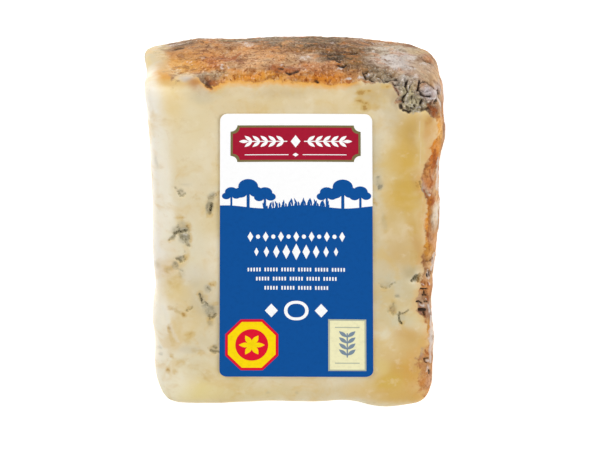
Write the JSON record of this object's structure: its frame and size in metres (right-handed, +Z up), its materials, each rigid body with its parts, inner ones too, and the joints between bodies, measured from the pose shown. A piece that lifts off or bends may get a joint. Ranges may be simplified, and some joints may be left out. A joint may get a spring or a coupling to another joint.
{
  "type": "stilton wedge",
  "caption": "Wedge of blue-veined cheese with a natural rind on its curved side and its flat end, lying on a cut face, with a paper label on the upper cut face",
  "frame": {"origin": "bottom centre of the bounding box, on the cut face that the wedge rests on", "axes": "+X along the axis of the drum that the wedge was cut from, towards its rind end; +Y from the thin tip to the curved rind; +Z up, out of the resting cut face"},
  "size_m": [0.0772, 0.1002, 0.0503],
  "materials": {
    "cheese": "soft ivory to straw-yellow paste with a slight moist sheen and blue-grey mould veins, under a dry, rough orange-brown rind with grey and lilac bloom",
    "label": "smooth satin paper printed in white and blue, with a crimson panel, a yellow and red seal and a cream panel"
  },
  "bodies": {
    "root": {"cheese": "cheese", "label": "label"}
  },
  "joints": []
}
